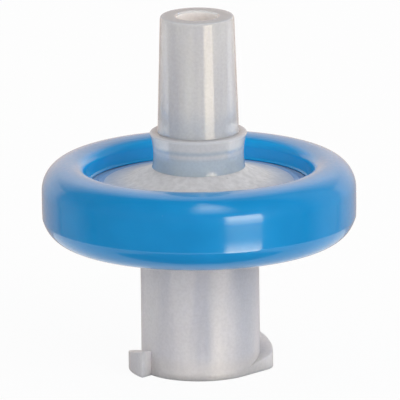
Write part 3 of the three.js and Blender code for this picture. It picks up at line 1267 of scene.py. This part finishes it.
@dataclass
class Studio:
    """Pale floor, white surround, soft light and the camera."""

    sight: Vector = field(default_factory=lambda: Vector((0.05, 0.0, 9.315)) * MM)
    elevation: float = 14.0
    distance: float = 0.9
    width: float = 21.62 * MM
    roll: float = 0.65
    sensor: float = 36.0
    clip: Point = (0.05, 10.0)
    floor_size: float = 3.0
    floor_gap: float = 0.02 * MM
    paper_dark: Colour = (0.85, 0.85, 0.85)
    paper_pale: Colour = (0.87, 0.87, 0.87)
    shadow: float = 0.07
    ambient: float = 1.2
    overhead: float = 0.4
    overhead_rise: Point = (0.35, 0.9)
    middle: Vector = field(default_factory=lambda: Vector((0.0, 0.0, 9.3)) * MM)
    key_bearing: float = 44.0
    key_height: float = 24.0
    key_distance: float = 0.5
    key_size: Point = (0.28, 0.36)
    key_power: float = 1.0
    key_colour: Colour = (1.0, 0.98, 0.95)
    card_steps: int = 40
    card_edge: float = 1e-6

    def camera(self) -> None:
        """Set the camera at its distance, looking slightly down."""
        data = bpy.data.cameras.new("camera")
        data.sensor_width = self.sensor
        data.lens = self.sensor * self.distance / self.width
        data.clip_start, data.clip_end = self.clip
        camera = linked("camera", data)
        back = toward(0.0, self.elevation)
        camera.location = self.sight + back * self.distance
        aim = (-back).to_track_quat("-Z", "Y")
        camera.rotation_mode = "QUATERNION"
        camera.rotation_quaternion = aim @ Quaternion((0, 0, 1), math.radians(-self.roll))
        bpy.context.scene.camera = camera

    def surround(self) -> None:
        """Make the world white to the eye, in gloss and through plastic, and soft as light."""
        world = bpy.data.worlds.new("surround")
        bpy.context.scene.world = world
        bench = cleared(world)
        rays = bench.add("ShaderNodeLightPath").outputs
        seen = bench.math("MAXIMUM", rays["Is Camera Ray"], rays["Is Glossy Ray"])
        seen = bench.math("MAXIMUM", seen, rays["Is Transmission Ray"])
        way = bench.out("ShaderNodeTexCoord", None, "Generated")
        rise = bench.out("ShaderNodeSeparateXYZ", {0: way}, "Z")
        level = bench.spanned(rise, self.overhead_rise, (self.ambient, self.ambient * self.overhead))
        light = bench.out("ShaderNodeBackground", {"Color": (*WHITE, 1.0), "Strength": level})
        white = bench.out("ShaderNodeBackground", {"Color": (*WHITE, 1.0), "Strength": 1.0})
        mixed = bench.out("ShaderNodeMixShader", {0: seen, 1: light, 2: white})
        bench.add("ShaderNodeOutputWorld", {"Surface": mixed})

    def floor(self) -> None:
        """Lay the pale floor, which keeps a soft share of the shadow and is clear from below."""
        half, low = self.floor_size / 2, -self.floor_gap
        mesh = bpy.data.meshes.new("floor")
        corners = [(-half, -half, low), (half, -half, low), (half, half, low), (-half, half, low)]
        mesh.from_pydata(corners, [], [(0, 1, 2, 3)])
        floor = linked("floor", mesh)
        material = bpy.data.materials.new("floor_paper")
        bench = cleared(material)
        grain = bench.noise(2.0, 2.0, 2.0)
        tone = bench.patched(grain, WIDE, 1.0, self.paper_dark, self.paper_pale)
        paper = bench.out("ShaderNodeBsdfDiffuse", {"Color": tone})
        glow = bench.out("ShaderNodeEmission", {"Color": (*WHITE, 1.0), "Strength": 1.0})
        rays = bench.add("ShaderNodeLightPath").outputs
        seen = bench.math("MAXIMUM", rays["Is Camera Ray"], rays["Is Transmission Ray"])
        keep = bench.math("MULTIPLY", seen, 1.0 - self.shadow)
        mixed = bench.out("ShaderNodeMixShader", {0: keep, 1: paper, 2: glow})
        below = bench.out("ShaderNodeNewGeometry", None, "Backfacing")
        wires = {0: below, 1: mixed, 2: bench.out("ShaderNodeBsdfTransparent")}
        bench.add("ShaderNodeOutputMaterial", {"Surface": bench.out("ShaderNodeMixShader", wires)})
        mesh.materials.append(material)
        floor.visible_glossy = False

    def softbox(self) -> None:
        """Hang the soft key lamp, which faces the object and which gloss doesn't show."""
        data = bpy.data.lights.new("key_softbox", "AREA")
        data.shape = "RECTANGLE"
        data.size, data.size_y = self.key_size
        data.energy = self.key_power
        data.color = self.key_colour
        lamp = linked("key_softbox", data)
        away = toward(self.key_bearing, self.key_height)
        lamp.location = self.middle + away * self.key_distance
        lamp.rotation_mode = "QUATERNION"
        lamp.rotation_quaternion = (-away).to_track_quat("-Z", "Y")
        lamp.visible_camera = False
        lamp.visible_transmission = False
        lamp.visible_glossy = False

    def card(self, name: str, bearings: Point, levels: tuple[Point, ...], distance: float = 0.8,
             colour: Colour = WHITE, sides: Point = (0.0, 0.0), through: bool = False) -> None:
        """Hang a curved card that shows in gloss.

        Args:
            name: Name of the card.
            bearings: First and last bearing in degrees, to the camera's right.
            levels: Elevations in degrees from the lowest up, each with the brightness there.
            distance: Distance from the object.
            colour: Colour of its light.
            sides: Share of its width over which the left and the right edge fade.
            through: Whether it also shows through plastic.
        """
        steps = self.card_steps
        row_length = steps + 1
        left, right = (max(side, self.card_edge) for side in sides)
        points, faces, glows = [], [], []
        for spot in range(row_length * row_length):
            row, column = divmod(spot, row_length)
            height = levels[0][0] + (levels[-1][0] - levels[0][0]) * row / steps
            share = column / steps
            away = toward(bearings[0] + (bearings[1] - bearings[0]) * share, height)
            points.append(self.middle + away * distance)
            glows.append(min(1.0, share / left, (1 - share) / right) * self.level(levels, height))
            if row < steps and column < steps:
                faces.append((spot, spot + 1, spot + row_length + 1, spot + row_length))
        mesh = bpy.data.meshes.new(name)
        mesh.from_pydata(points, [], faces)
        mesh.attributes.new("glow", "FLOAT", "POINT").data.foreach_set("value", glows)
        card = linked(name, mesh)
        material = bpy.data.materials.new(name)
        bench = cleared(material)
        material.cycles.emission_sampling = "NONE"
        level = bench.out("ShaderNodeAttribute", None, "Fac", attribute_name="glow")
        glow = bench.out("ShaderNodeEmission", {"Color": (*colour, 1.0), "Strength": level})
        bench.add("ShaderNodeOutputMaterial", {"Surface": glow})
        mesh.materials.append(material)
        card.visible_camera = False
        card.visible_diffuse = False
        card.visible_transmission = through
        card.visible_volume_scatter = False
        card.visible_shadow = False

    @staticmethod
    def level(levels: tuple[Point, ...], height: float) -> float:
        """Read a card's brightness between its given elevations.

        Args:
            levels: Elevations with their brightness, from the lowest up.
            height: Elevation in degrees.

        Returns:
            The brightness there.
        """
        for (low, dim), (high, bright) in zip(levels, levels[1:]):
            if height <= high:
                return dim + (bright - dim) * max(0.0, height - low) / (high - low)
        return levels[-1][1]

    def build(self) -> None:
        """Set up the whole studio."""
        self.camera()
        self.surround()
        self.floor()
        self.softbox()
        self.window()
        self.room()

    def window(self) -> None:
        """Hang the window and its upper pane in front, to the right."""
        warm = (1.0, 0.85, 0.62)
        panes = ((-40.0, 0.0), (-34.0, 10.5), (-19.5, 10.5), (-15.0, 0.9), (-13.0, 1.2), (-10.5, 4.4),
                 (-6.0, 4.6), (11.0, 10.0), (19.0, 9.2), (22.5, 0.0))
        upper = ((30.0, 0.0), (60.0, 5.2), (92.0, 0.0))
        self.card("window", (17.0, 47.0), panes, distance=0.5, colour=warm, sides=(0.15, 0.02))
        self.card("upper_pane", (-11.0, 37.0), upper, distance=0.5, colour=warm, sides=(0.3, 0.4))

    def room(self) -> None:
        """Hang the pale backdrop and the darker room round the object."""
        paper = (1.0, 0.8, 0.68)
        behind, front = (118.0, 242.0), (-84.0, 84.0)
        high = ((20.0, 1.2), (34.0, 1.7), (66.0, 1.7), (86.0, 0.4))
        low = ((-24.0, 0.5), (-14.0, 0.6), (6.0, 1.05), (24.0, 1.15))
        left = ((-24.0, 0.42), (0.0, 0.4), (20.0, 0.1), (95.0, 0.1))
        right = ((-24.0, 0.42), (95.0, 0.42))
        self.card("high_backdrop", behind, high, distance=0.85, colour=paper, sides=(0.3, 0.3))
        self.card("low_backdrop", behind, low, distance=0.9, colour=paper, sides=(0.1, 0.1))
        self.card("left_wall", (-122.0, -84.0), left, sides=(0.0, 0.5), through=True)
        self.card("right_wall", (84.0, 122.0), right, sides=(0.5, 0.0), through=True)
        self.card("dark_room", front, ((-24.0, 0.08), (96.0, 0.08)))
        self.card("dark_table", front, ((-88.0, 0.08), (-48.0, 0.08)))


# ---- assembly -------------------------------------------------------------------------------


def main() -> None:
    """Build the pieces in the order of assembly, then the studio."""
    logging.basicConfig(level=logging.INFO, format="%(name)s %(message)s")
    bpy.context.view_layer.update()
    bpy.context.scene.view_settings.view_transform = "Standard"
    stack = Stack.from_frame()
    pieces = [
        InletHousing(stack, SatinPolypropylene()),
        Membrane(stack, PorousMembrane()),
        OutletHousing(stack, NaturalPolypropylene()),
        OvermouldRing(stack, BluePolypropylene()),
    ]
    for piece in pieces:
        piece.place()
    Studio().build()


if __name__ == "__main__":
    main()
